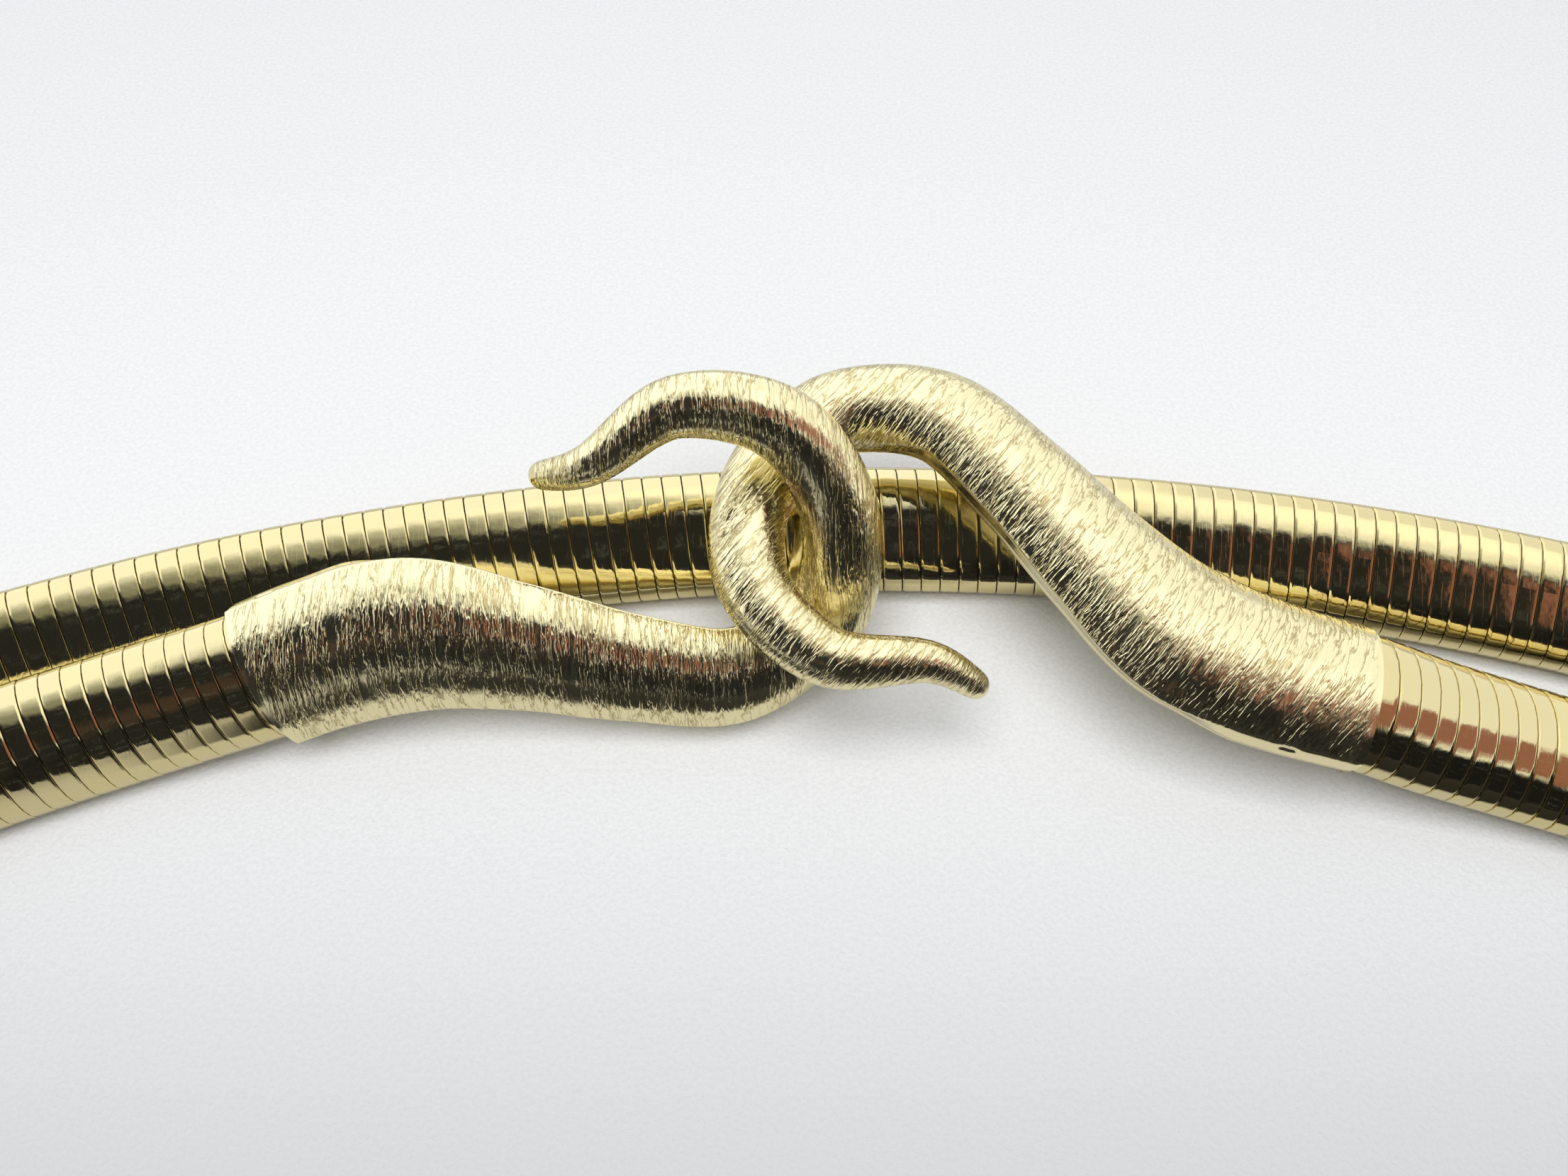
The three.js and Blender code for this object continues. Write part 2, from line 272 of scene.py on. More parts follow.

# What the metal mirrors of the table is pale up to one distance from it, in metres, and dark beyond
# another, but only where it is mirrored shallowly, right of one place on X and in front of one on Y.
# This painted reflection stands in for the shade and the dark things that stood in front of the belt.
MIRRORED_TABLE = {"pale": 0.0095, "dark": 0.0125, "steep": 0.3, "shallow": 0.48}
DARK_TABLE = {"left": -0.075, "from_left": -0.058, "back": 0.012, "from_back": 0.002}
MIRRORED_TONES = {"pale": (0.78, 0.77, 0.74, 1), "dark": (0.016, 0.016, 0.018, 1)}

# The lamp: its place, in metres, its size and its power, in watts
SOFTBOX = {"at": (-0.03, -0.12, 0.6), "size": 0.4, "power": 2.95}

# The photograph's view, from the clasp's side and above, aimed at a point near the clasp.
PHOTO_WIDTH = 2212
FOCAL_PIXELS = 1850
SENSOR_WIDTH = 36
VIEW_ELEVATION = math.radians(57)
VIEW_DISTANCE = 129.37
AIM = BACK_MIDDLE + Vector((-10, -9.9, 9))


def nothing_selected():
    if bpy.context.object and bpy.context.object.mode != "OBJECT":
        bpy.ops.object.mode_set(mode="OBJECT")
    bpy.ops.object.select_all(action="DESELECT")


def only(piece):
    nothing_selected()
    piece.select_set(True)
    bpy.context.view_layer.objects.active = piece


def select_corners(piece, wanted):
    """Goes into edit mode with only the wanted corners selected."""
    only(piece)
    bpy.ops.object.mode_set(mode="EDIT")
    bpy.ops.mesh.select_mode(type="VERT")
    bpy.ops.mesh.select_all(action="DESELECT")
    bpy.ops.object.mode_set(mode="OBJECT")
    for corner in piece.data.vertices:
        corner.select = wanted(corner.co)
    bpy.ops.object.mode_set(mode="EDIT")


def apply_modifiers(piece):
    only(piece)
    for modifier in list(piece.modifiers):
        bpy.ops.object.modifier_apply(modifier=modifier.name)


def smooth_line(points, evenly=False):
    """The smooth curve through the points, with LINE_STEPS steps to each stretch."""
    points = [2 * points[0] - points[1], *points, 2 * points[-1] - points[-2]]
    gaps = [1 if evenly else math.sqrt((b - a).length) for a, b in zip(points, points[1:])]
    line = []
    for i in range(1, len(points) - 2):
        a, b, c, d = points[i - 1:i + 3]
        before, here, after = gaps[i - 1:i + 2]
        leaving = here * ((b - a) / before - (c - a) / (before + here)) + (c - b)
        arriving = (c - b) + here * ((d - c) / after - (d - b) / (here + after))
        stretch = interpolate_bezier(b, b + leaving / 3, c - arriving / 3, c, LINE_STEPS + 1)
        line += stretch[:-1]
    return line + [points[-2]]


def distances_along(line):
    steps = [(b - a).length for a, b in zip(line, line[1:])]
    return [0, *accumulate(steps)]


def bent_along(piece, line, tilts):
    """Bends a straight piece that lies along X, in metres, to follow a line, in millimetres."""
    guide = bpy.data.curves.new("guide", "CURVE")
    guide.dimensions = "3D"
    guide.twist_mode = "Z_UP"
    guide.use_deform_bounds = False
    guide.use_radius = False
    spline = guide.splines.new("POLY")
    spline.points.add(len(line) - 1)
    for corner, place, tilt in zip(spline.points, line, tilts):
        corner.co = (*(place * MM), 1)
        corner.tilt = tilt
    guide_object = bpy.data.objects.new("guide", guide)
    bpy.context.scene.collection.objects.link(guide_object)
    bend = piece.modifiers.new("bend", "CURVE")
    bend.object = guide_object
    apply_modifiers(piece)
    bpy.data.objects.remove(guide_object)
    bpy.data.curves.remove(guide)


# The hook's line and sizes, which both hooks share
hook_line = smooth_line([Vector((s["x"], s["y"], s["lift"])) for s in HOOK])
hook_sizes = smooth_line([Vector((s["half"], s["front"], s["back"])) for s in HOOK], evenly=True)
hook_distances = distances_along(hook_line)


def hook_value(values, distance):
    """What a list along the hook's line holds at a distance from its start."""
    i = min(max(bisect(hook_distances, distance) - 1, 0), len(hook_line) - 2)
    share = (distance - hook_distances[i]) / (hook_distances[i + 1] - hook_distances[i])
    return values[i].lerp(values[i + 1], share)


def hook_matrix(place):
    turn = Euler((math.radians(place["lean"]), 0, 0)).to_matrix()
    roll = Euler((0, math.radians(place["roll"]), 0)).to_matrix()
    heading = Euler((0, 0, math.radians(place["heading"]))).to_matrix()
    return Matrix.LocRotScale(BACK_MIDDLE + Vector(place["at"]), heading @ turn @ roll, None)


def hook_rings(mouth):
    """The rings of a hook's bar, from the bottom of its bore, out over the mouth's edge and to the tip."""
    bore = Vector((STRAP_HALF_WIDTH, STRAP_OUTER_RISE, STRAP_OUTER_RISE))
    bore += Vector((SOCKET_ROOM, SOCKET_ROOM, SOCKET_ROOM))
    rounding = Vector((MOUTH_ROUNDING, MOUTH_ROUNDING, MOUTH_ROUNDING))
    rings = [(mouth + depth, bore) for depth in (SOCKET_DEPTH, 0.5 * SOCKET_DEPTH, MOUTH_ROUNDING)]
    rings.append((mouth, bore + rounding))
    rings.append((mouth, hook_value(hook_sizes, mouth) - rounding))
    tip_start = hook_distances[-1] - TIP_ROUNDING
    for i in range(HOOK_RINGS + 1):
        distance = mouth + MOUTH_ROUNDING + (tip_start - mouth - MOUTH_ROUNDING) * i / HOOK_RINGS
        rings.append((distance, hook_value(hook_sizes, distance)))
    for i in range(1, TIP_RINGS + 1):
        turn = 0.5 * math.pi * i / TIP_RINGS
        distance = tip_start + TIP_ROUNDING * math.sin(turn)
        rings.append((distance, hook_value(hook_sizes, distance) * math.cos(turn)))
    return rings


def half_bar(rings, side, finish):
    """The front half of a hook's bar for side 1, or its back half for side -1, extruded ring by ring."""
    nothing_selected()
    start, first = rings[0]
    bpy.ops.mesh.primitive_circle_add(vertices=HOOK_SIDES, radius=1, rotation=(0, math.pi / 2, 0))
    half = bpy.context.object
    bpy.ops.object.transform_apply(location=False, rotation=True, scale=False)
    select_corners(half, lambda place: side * place.z < -MIDDLE_LINE)
    bpy.ops.mesh.delete(type="VERT")
    bpy.ops.mesh.select_all(action="SELECT")
    tall = 1 if side > 0 else 2
    width, height = first[0] * MM, first[tall] * MM
    bpy.ops.transform.resize(value=(1, width, height), center_override=(0, 0, 0))
    bpy.ops.transform.translate(value=(start * MM, 0, 0))
    for (before, old), (distance, new) in zip(rings, rings[1:]):
        bpy.ops.mesh.extrude_region_move(TRANSFORM_OT_translate={"value": ((distance - before) * MM, 0, 0)})
        ratio = (1, new[0] / old[0], new[tall] / old[tall])
        bpy.ops.transform.resize(value=ratio, center_override=(distance * MM, 0, 0))
    bpy.ops.object.mode_set(mode="OBJECT")
    half.data.materials.append(finish)
    return half


def relief(piece, name, shares, height, grain=None, grid=None):
    """Moves corners of a piece along their normals, each by its share of a height, in millimetres."""
    group = piece.vertex_groups.new(name=name)
    for index, share in enumerate(shares):
        if share > 0:
            group.add([index], share, "REPLACE")
    move = piece.modifiers.new(name, "DISPLACE")
    move.vertex_group = name
    move.strength = height * MM
    move.mid_level = 0
    if grain:
        move.texture = grain
        move.texture_coords = "OBJECT"
        move.texture_coords_object = grid
        move.mid_level = GRAIN_LEVEL


def eased(value, low, high):
    """0 at low and below, 1 at high and above, and a smooth rise between."""
    share = min(max((value - low) / (high - low), 0), 1)
    return share * share * (3 - 2 * share)


def round_angle(corner):
    """How far round a straight bar's section a corner is, in degrees from its side towards its front."""
    sizes = hook_value(hook_sizes, corner.x / MM)
    across = abs(corner.y) / sizes[0]
    up = corner.z / (sizes[1] if corner.z > 0 else sizes[2])
    return math.degrees(math.atan2(up, across))


def in_bore(corner):
    sizes = hook_value(hook_sizes, corner.x / MM)
    tall = sizes[1] if corner.z > 0 else sizes[2]
    return math.hypot(corner.y / sizes[0], corner.z / tall) < BORE_SHARE * MM


def body_share(distance):
    """1 on a hook's body, where its section has a shoulder, and 0 on its round curl."""
    return eased(SHOULDER["end"] - distance, 0, SHOULDER["run_out"])


def shape_section(corner, mouth, twist):
    """Turns a round section into a low dome over a shoulder, drawn in below it past the socket."""
    distance = corner.x / MM
    if in_bore(corner):
        if corner.z < 0:
            wide = corner.y / MM / (STRAP_HALF_WIDTH + SOCKET_ROOM)
            corner.z *= inner_flattening(min(abs(wide), 1))
        return
    sizes = hook_value(hook_sizes, distance) * MM
    share = body_share(distance)
    angle = round_angle(corner)
    edge = math.radians(SHOULDER["slope"])
    half = sizes[0] * SHOULDER["width"]
    shoulder = sizes[1] - half * math.tan(edge / 2)
    drawn = 1 - SHOULDER["drawn_in"] * eased(distance - mouth, RIM_LENGTH - RIM_RUN_OUT, RIM_LENGTH)
    if angle >= SHOULDER["at"]:
        across = math.cos(math.radians(angle)) / math.cos(math.radians(SHOULDER["at"]))
        dome = (math.sqrt(1 - (across * math.sin(edge))**2) - math.cos(edge)) / (1 - math.cos(edge))
        wide, tall = half * across, shoulder + (sizes[1] - shoulder) * dome
    elif angle > 0:
        up = angle / SHOULDER["at"]
        wide, tall = half * (drawn + (1 - drawn) * up), shoulder * up
    else:
        wide, tall = abs(corner.y) * SHOULDER["width"] * drawn, corner.z
    corner.y = math.copysign(abs(corner.y) * (1 - share) + wide * share, corner.y)
    corner.z = corner.z * (1 - share) + tall * share
    corner.rotate(Euler((math.radians(twist) * share, 0, 0)))


def grain_share(corner, angle, mouth):
    """How deep the grain is cut at a place on the bar: none at the back, the mouth's edge or the tip."""
    distance = corner.x / MM
    if in_bore(corner):
        return 0
    body = body_share(distance)
    start = GRAIN_EDGE["curl"] * (1 - body) + GRAIN_EDGE["body"] * body
    edge = eased(angle, start, start + GRAIN_EDGE["rise"])
    near_mouth = eased(distance - mouth, GRAIN_MOUTH["from"], GRAIN_MOUTH["full"])
    near_tip = eased(hook_distances[-1] - distance, GRAIN_TIP["from"], GRAIN_TIP["full"])
    return edge * near_mouth * near_tip


def rim_share(corner, angle, mouth):
    """1 on the smooth flat rim along the back's edge beside the socket, and 0 elsewhere."""
    distance = corner.x / MM - mouth
    if in_bore(corner):
        return 0
    along = eased(distance, RIM_MOUTH["from"], RIM_MOUTH["full"])
    along *= eased(RIM_LENGTH - distance, 0, RIM_RUN_OUT)
    top = eased(SHOULDER["at"] - angle, RIM_TOP["from"], RIM_TOP["full"])
    return along * eased(angle, RIM_ANGLES["from"], RIM_ANGLES["full"]) * top


def notch_share(corner, angle):
    """1 in the small notch in one side's rim, and 0 elsewhere."""
    if corner.y < 0 or in_bore(corner):
        return 0
    along, around = NOTCH_SOFTNESS["along"], NOTCH_SOFTNESS["around"]
    past_end = NOTCH["length"] / 2 - abs(corner.x / MM - NOTCH["distance"])
    past_side = NOTCH["angle"] - abs(angle - NOTCH["at"])
    return eased(past_end, -along, along) * eased(past_side, -around, around)


def hook(name, place, front_finish, back_finish):
    rings = hook_rings(place["mouth"])
    front = half_bar(rings, 1, front_finish)
    back = half_bar(rings, -1, back_finish)
    only(front)
    back.select_set(True)
    bpy.ops.object.join()
    bpy.ops.object.mode_set(mode="EDIT")
    bpy.ops.mesh.select_all(action="SELECT")
    bpy.ops.mesh.remove_doubles(threshold=SAME_CORNER * MM)
    bpy.ops.mesh.select_all(action="DESELECT")
    bpy.ops.mesh.select_non_manifold()
    bpy.ops.mesh.fill_holes(sides=0)
    bpy.ops.mesh.select_all(action="SELECT")
    bpy.ops.mesh.normals_make_consistent(inside=False)
    bpy.ops.object.mode_set(mode="OBJECT")
    front.name = name + "_casting"
    smooth = front.modifiers.new("smooth", "SUBSURF")
    smooth.levels = smooth.render_levels = HOOK_SMOOTHING
    apply_modifiers(front)
    straight = [corner.co.copy() for corner in front.data.vertices]
    angles = [round_angle(corner) for corner in straight]
    shares = {
        "grain": [grain_share(*pair, place["mouth"]) for pair in zip(straight, angles)],
        "rim": [rim_share(*pair, place["mouth"]) for pair in zip(straight, angles)],
        "notch": [notch_share(*pair) for pair in zip(straight, angles)],
    }
    for corner in front.data.vertices:
        shape_section(corner.co, place["mouth"], place["twist"])
    depth = front.data.attributes.new("grain_depth", "FLOAT", "POINT")
    depth.data.foreach_set("value", shares["grain"])
    bent_along(front, hook_line, [0] * len(hook_line))
    front.data.transform(Matrix.Scale(MM, 4) @ hook_matrix(place) @ Matrix.Scale(1 / MM, 4))
    bark = bpy.data.textures.new("bark", "MUSGRAVE")
    bark.musgrave_type = "RIDGED_MULTIFRACTAL"
    bark.octaves = 2
    bark.noise_scale = 1
    grid = bpy.data.objects.new("grid", None)
    bpy.context.scene.collection.objects.link(grid)
    grid.rotation_euler = grain_turn(place["across"])
    grid.scale = (GRAIN_SPACING * MM, GRAIN_LENGTH * MM, GRAIN_LENGTH * MM)
    bpy.context.view_layer.update()
    relief(front, "grain", shares["grain"], GRAIN_HEIGHT, bark, grid)
    relief(front, "rim", shares["rim"], RIM_HEIGHT)
    relief(front, "notch", shares["notch"], -NOTCH["depth"])
    apply_modifiers(front)
    bpy.data.objects.remove(grid)
    only(front)
    bpy.ops.object.shade_smooth()
    return front


def grain_turn(across):
    """The turn that lays X across the grain."""
    return Vector(across).to_track_quat("X", "Z").to_euler()


def lying_height(face):
    """Height of the strap's centre line where it lies on the floor with its face turned up by an angle."""
    wide = STRAP_HALF_WIDTH * math.cos(face)
    if face < 0:
        return math.hypot(wide, STRAP_OUTER_RISE * math.sin(face))
    power = INNER_SQUARENESS / (INNER_SQUARENESS - 1)
    return (wide**power + (STRAP_INNER_RISE * math.sin(face))**power)**(1 / power)


def route_point(row):
    angle = row["along"] / BACK_RADIUS
    radius = BACK_RADIUS - row["inset"]
    height = lying_height(math.radians(row["face"])) + row["lift"]
    return BACK_MIDDLE + Vector((radius * math.sin(angle), radius * math.cos(angle) - BACK_RADIUS, height))


def socket_points(place):
    """The strap's centre line in a hook's socket, from the mouth inwards, and how far its face looks up."""
    matrix = hook_matrix(place)
    depths = (0, 0.5 * SOCKET_DEPTH, SOCKET_DEPTH - SOCKET_END_ROOM)
    points = [matrix @ hook_value(hook_line, place["mouth"] + depth) for depth in depths]
    tangent = (points[1] - points[0]).normalized()
    wide = (matrix.to_3x3() @ Vector((0, 0, 1))).cross(tangent).normalized()
    return points, math.asin(tangent.cross(wide).z)


def inner_flattening(across):
    """How much nearer to the middle the strap's inner side is than a plain oval, at a share of its width."""
    across = min(across, NEAR_EDGE)
    square = (1 - across**INNER_SQUARENESS)**(1 / INNER_SQUARENESS) / math.sqrt(1 - across**2)
    return square * STRAP_INNER_RISE / STRAP_OUTER_RISE


def shape_turns(strap):
    """Flattens the inner side of the straight strap, and marks its seams and the number of each turn."""
    seams = []
    for corner in strap.data.vertices:
        out, wide = corner.co.y / STRAP_OUTER_RISE / MM, corner.co.z / STRAP_HALF_WIDTH / MM
        size = math.hypot(out, wide)
        seams.append(min(max((1 - size) / SEAM_DEPTH, 0), 1))
        if out < 0 and size > 0:
            corner.co.y *= inner_flattening(abs(wide) / size)
    numbers = []
    for face in strap.data.polygons:
        turned = math.atan2(face.center.y, face.center.z) / (2 * math.pi) % 1
        numbers.append(math.floor(face.center.x / MM / TURN_PITCH + WINDING * turned))
    depth = strap.data.attributes.new("seam_depth", "FLOAT", "POINT")
    depth.data.foreach_set("value", seams)
    number = strap.data.attributes.new("turn_number", "FLOAT", "FACE")
    number.data.foreach_set("value", numbers)


def coil():
    """The whole strap: one crowned turn of strip in profile, wound on and on, made oval and bent."""
    left, left_face = socket_points(HOOK_PLACES["hook_left"])
    right, right_face = socket_points(HOOK_PLACES["hook_right"])
    line = smooth_line([*reversed(left), *(route_point(row) for row in ROUTE), *right])
    faces = [left_face] * 3 + [math.radians(row["face"]) for row in ROUTE] + [right_face] * 3
    tilts = [value.x for value in smooth_line([Vector((face, 0, 0)) for face in faces], evenly=True)]
    length = distances_along(line)[-1]
    turns = round(length / TURN_PITCH)
    nothing_selected()
    bpy.ops.mesh.primitive_plane_add(size=1)
    strap = bpy.context.object
    bpy.ops.object.mode_set(mode="EDIT")
    bpy.ops.mesh.merge(type="CENTER")
    start = TURN_PROFILE[0]
    bpy.ops.transform.translate(value=(0, 0, 1 + start["height"]))
    for before, after in zip(TURN_PROFILE, TURN_PROFILE[1:]):
        step = ((after["along"] - before["along"]) * TURN_PITCH * MM, 0, after["height"] - before["height"])
        bpy.ops.mesh.extrude_region_move(TRANSFORM_OT_translate={"value": step})
    bpy.ops.object.mode_set(mode="OBJECT")
    winding = strap.modifiers.new("winding", "SCREW")
    winding.axis = "X"
    winding.angle = 2 * math.pi
    winding.screw_offset = TURN_PITCH * MM
    winding.iterations = turns + 1
    winding.steps = winding.render_steps = TURN_STEPS
    apply_modifiers(strap)
    bpy.ops.object.mode_set(mode="EDIT")
    bpy.ops.mesh.select_all(action="SELECT")
    oval = (1, STRAP_OUTER_RISE * MM, STRAP_HALF_WIDTH * MM)
    bpy.ops.transform.resize(value=oval, center_override=(0, 0, 0))
    bpy.ops.transform.translate(value=(-TURN_PITCH * MM, 0, 0))
    bpy.ops.mesh.remove_doubles(threshold=SAME_CORNER * MM)
    bpy.ops.mesh.bisect(plane_co=(0, 0, 0), plane_no=(1, 0, 0), clear_inner=True)
    bpy.ops.mesh.select_all(action="SELECT")
    bpy.ops.mesh.bisect(plane_co=(length * MM, 0, 0), plane_no=(1, 0, 0), clear_outer=True)
    bpy.ops.mesh.select_all(action="SELECT")
    bpy.ops.mesh.remove_doubles(threshold=SAME_END_CORNER * MM)
    bpy.ops.mesh.select_all(action="SELECT")
    bpy.ops.mesh.fill_holes(sides=0)
    bpy.ops.object.mode_set(mode="OBJECT")
    shape_turns(strap)
    bent_along(strap, line, tilts)
    strap.name = "coil_turns"
    only(strap)
    bpy.ops.object.mode_set(mode="EDIT")
    bpy.ops.mesh.select_all(action="SELECT")
    bpy.ops.mesh.normals_make_consistent(inside=False)
    bpy.ops.object.mode_set(mode="OBJECT")
    bpy.ops.object.shade_smooth_by_angle(angle=math.radians(SHARP_EDGE))
    return strap


def step(tree, kind, inputs=None, **settings):
    """A new node in a tree, with its inputs linked where they are sockets and set where they are values."""
    node = tree.nodes.new("ShaderNode" + kind)
    for name, value in settings.items():
        setattr(node, name, value)
    for key, value in (inputs or {}).items():
        if isinstance(value, bpy.types.NodeSocket):
            tree.links.new(value, node.inputs[key])
        else:
            node.inputs[key].default_value = value
    return node


def worked_out(tree, operation, *values):
    """What a Math node makes of its values, each a socket or a plain number."""
    return step(tree, "Math", dict(enumerate(values)), operation=operation).outputs[0]


def eased_map(tree, value, start, full):
    """0 where a value is at start, 1 where it is at full, and a smooth change between."""
    inputs = {"Value": value, "From Min": start, "From Max": full}
    return step(tree, "MapRange", inputs, interpolation_type="SMOOTHSTEP").outputs["Result"]


def about_nothing(tree, noise):
    """A noise's colour as a vector that varies about nothing."""
    inputs = {0: noise, 1: [NOISE_MIDDLE] * 3}
    return step(tree, "VectorMath", inputs, operation="SUBTRACT").outputs["Vector"]


def new_group(name, inputs, outputs):
    """An empty shader node group, with its input and output nodes."""
    tree = bpy.data.node_groups.new(name, "ShaderNodeTree")
    for title, kind in inputs.items():
        tree.interface.new_socket(title, in_out="INPUT", socket_type=kind)
    for title, kind in outputs.items():
        tree.interface.new_socket(title, in_out="OUTPUT", socket_type=kind)
    return tree, tree.nodes.new("NodeGroupInput"), tree.nodes.new("NodeGroupOutput")


def fine_wear_group():
    """Faint clouds, hairline scratches and specks that handling leaves on plated metal."""
    tree, given, result = new_group(
        "fine_wear",
        {"Position": "NodeSocketVector", "Scratches": "NodeSocketFloat", "Clouds": "NodeSocketFloat"},
        {"Roughness": "NodeSocketFloat", "Dullness": "NodeSocketFloat", "Height": "NodeSocketFloat"},
    )
    position = given.outputs["Position"]
    clouds = step(tree, "TexNoise", {"Vector": position, "Scale": 160, "Detail": 4}).outputs["Fac"]
    specks = step(tree, "TexNoise", {"Vector": position, "Scale": 2600, "Detail": 2}).outputs["Fac"]
    lines = None
    for turn in SCRATCH_TURNS:
        inputs = {"Vector": position, "Rotation": turn, "Scale": SCRATCHES["scale"]}
        laid = step(tree, "Mapping", inputs).outputs["Vector"]
        noise = step(tree, "TexNoise", {"Vector": laid, "Scale": 1, "Detail": 1}).outputs["Fac"]
        line = eased_map(tree, noise, SCRATCHES["from"], SCRATCHES["full"])
        if lines is None:
            lines = line
        else:
            lines = worked_out(tree, "MAXIMUM", lines, line)
    cut = worked_out(tree, "MULTIPLY", lines, given.outputs["Scratches"])
    haze = eased_map(tree, clouds, CLOUDS["from"], CLOUDS["full"])
    haze = worked_out(tree, "MULTIPLY", haze, given.outputs["Clouds"])
    rough = worked_out(tree, "MULTIPLY_ADD", cut, ADDED_ROUGHNESS["scratch"], haze)
    tree.links.new(rough, result.inputs["Roughness"])
    tree.links.new(haze, result.inputs["Dullness"])
    dug = worked_out(tree, "MULTIPLY_ADD", cut, -1.0, specks)
    tree.links.new(dug, result.inputs["Height"])
    return tree


def bark_grain_group():
    """Branching ridges and furrows, one unit apart along X, several units long."""
    tree, given, result = new_group(
        "bark_grain",
        {"Position": "NodeSocketVector", "Waviness": "NodeSocketFloat"},
        {"Height": "NodeSocketFloat", "Furrow": "NodeSocketFloat"},
    )
    position = given.outputs["Position"]
    drift = step(tree, "TexNoise", {"Vector": position, "Scale": 0.6, "Detail": 3}).outputs["Color"]
    drift = about_nothing(tree, drift)
    drift = step(tree, "VectorMath", {0: drift, "Scale": given.outputs["Waviness"]}, operation="SCALE")
    waved = step(tree, "VectorMath", {0: position, 1: drift.outputs["Vector"]}, operation="ADD")
    waved = waved.outputs["Vector"]
    ridges = step(tree, "TexNoise", {"Vector": waved, "Scale": 0.85, "Detail": 3}).outputs["Fac"]
    creases = step(tree, "TexNoise", {"Vector": waved, "Scale": 1.35, "Detail": 2}).outputs["Fac"]
    depth = step(tree, "TexNoise", {"Vector": position, "Scale": 0.4, "Detail": 1}).outputs["Fac"]
    edges = []
    for noise, full in ((ridges, BARK["ridge_edge"]), (creases, BARK["crease_edge"])):
        off = worked_out(tree, "SUBTRACT", noise, NOISE_MIDDLE)
        off = worked_out(tree, "ABSOLUTE", off)
        edges.append(eased_map(tree, off, 0.0, full))
    height = worked_out(tree, "MULTIPLY_ADD", edges[1], BARK["creases"], edges[0])
    deep = eased_map(tree, depth, BARK["shallow"], BARK["deep"])
    height = worked_out(tree, "MULTIPLY", height, deep)
    height = worked_out(tree, "MULTIPLY_ADD", ridges, BARK["unevenness"], height)
    tree.links.new(height, result.inputs["Height"])
    furrow = worked_out(tree, "SUBTRACT", 1.0, edges[0])
    furrow = worked_out(tree, "POWER", furrow, BARK["narrowness"])
    furrow = worked_out(tree, "MULTIPLY", furrow, deep)
    tree.links.new(furrow, result.inputs["Furrow"])
    return tree


def bumped(tree, height, distance, normal=None):
    """The normal that a height leaves, over the surface's own or over another one."""
    inputs = {"Height": height, "Strength": 1, "Distance": distance}
    if normal:
        inputs["Normal"] = normal
    return step(tree, "Bump", inputs).outputs["Normal"]


def new_material(name):
    """A metal with its own shader, its tree and the position that its patterns follow."""
    material = bpy.data.materials.new(name)
    material.use_nodes = True
    tree = material.node_tree
    shader = tree.nodes["Principled BSDF"]
    shader.inputs["Metallic"].default_value = 1
    position = step(tree, "TexCoord").outputs["Object"]
    return material, tree, shader, position


def worn(tree, position, scratches, clouds):
    """The wear of plated metal, placed in a material."""
    wear = step(tree, "Group", node_tree=wear_group)
    tree.links.new(position, wear.inputs["Position"])
    wear.inputs["Scratches"].default_value = scratches
    wear.inputs["Clouds"].default_value = clouds
    return wear.outputs


def mixed(tree, share, first, second):
    """A colour between two, each a socket or a plain colour."""
    inputs = {"Factor": share, "A": first, "B": second}
    return step(tree, "Mix", inputs, data_type="RGBA").outputs["Result"]


def polished_gold():
    """The strap: mirror-bright plate, each turn set a hair askew, and darker deep in the seams."""
    material, tree, shader, position = new_material("polished_gold")
    wear = worn(tree, position, **WEAR["strap"])
    seam = step(tree, "Attribute", attribute_name="seam_depth").outputs["Fac"]
    number = step(tree, "Attribute", attribute_name="turn_number").outputs["Fac"]
    chance = step(tree, "TexWhiteNoise", {"W": number}, noise_dimensions="1D").outputs
    tone = mixed(tree, chance["Value"], *STRAP_TONES["turns"])
    tone = mixed(tree, wear["Dullness"], tone, STRAP_TONES["dull"])
    # The seams take a darker tone the deeper they are, and are rougher there.
    seam_darkening = eased_map(tree, seam, SEAM_DARKENING["from"], SEAM_DARKENING["full"])
    tone = mixed(tree, seam_darkening, tone, SEAM_DARK_TONE)
    tree.links.new(tone, shader.inputs["Base Color"])
    rough = worked_out(tree, "ADD", wear["Roughness"], ROUGHNESS["strap"])
    rough = worked_out(tree, "MULTIPLY_ADD", seam_darkening, ADDED_ROUGHNESS["seam_darkening"], rough)
    tree.links.new(rough, shader.inputs["Roughness"])
    askew = about_nothing(tree, chance["Color"])
    askew = step(tree, "VectorMath", {0: askew, "Scale": ASKEW}, operation="SCALE")
    normal = step(tree, "NewGeometry").outputs["Normal"]
    turned = step(tree, "VectorMath", {0: normal, 1: askew.outputs["Vector"]}, operation="ADD")
    turned = step(tree, "VectorMath", {0: turned.outputs["Vector"]}, operation="NORMALIZE").outputs["Vector"]
    dents = step(tree, "TexNoise", {"Vector": position, "Scale": 420, "Detail": 2}).outputs["Fac"]
    soft = bumped(tree, dents, BUMPS["dents"], turned)
    tree.links.new(bumped(tree, wear["Height"], BUMPS["strap_wear"], soft), shader.inputs["Normal"])
    return material


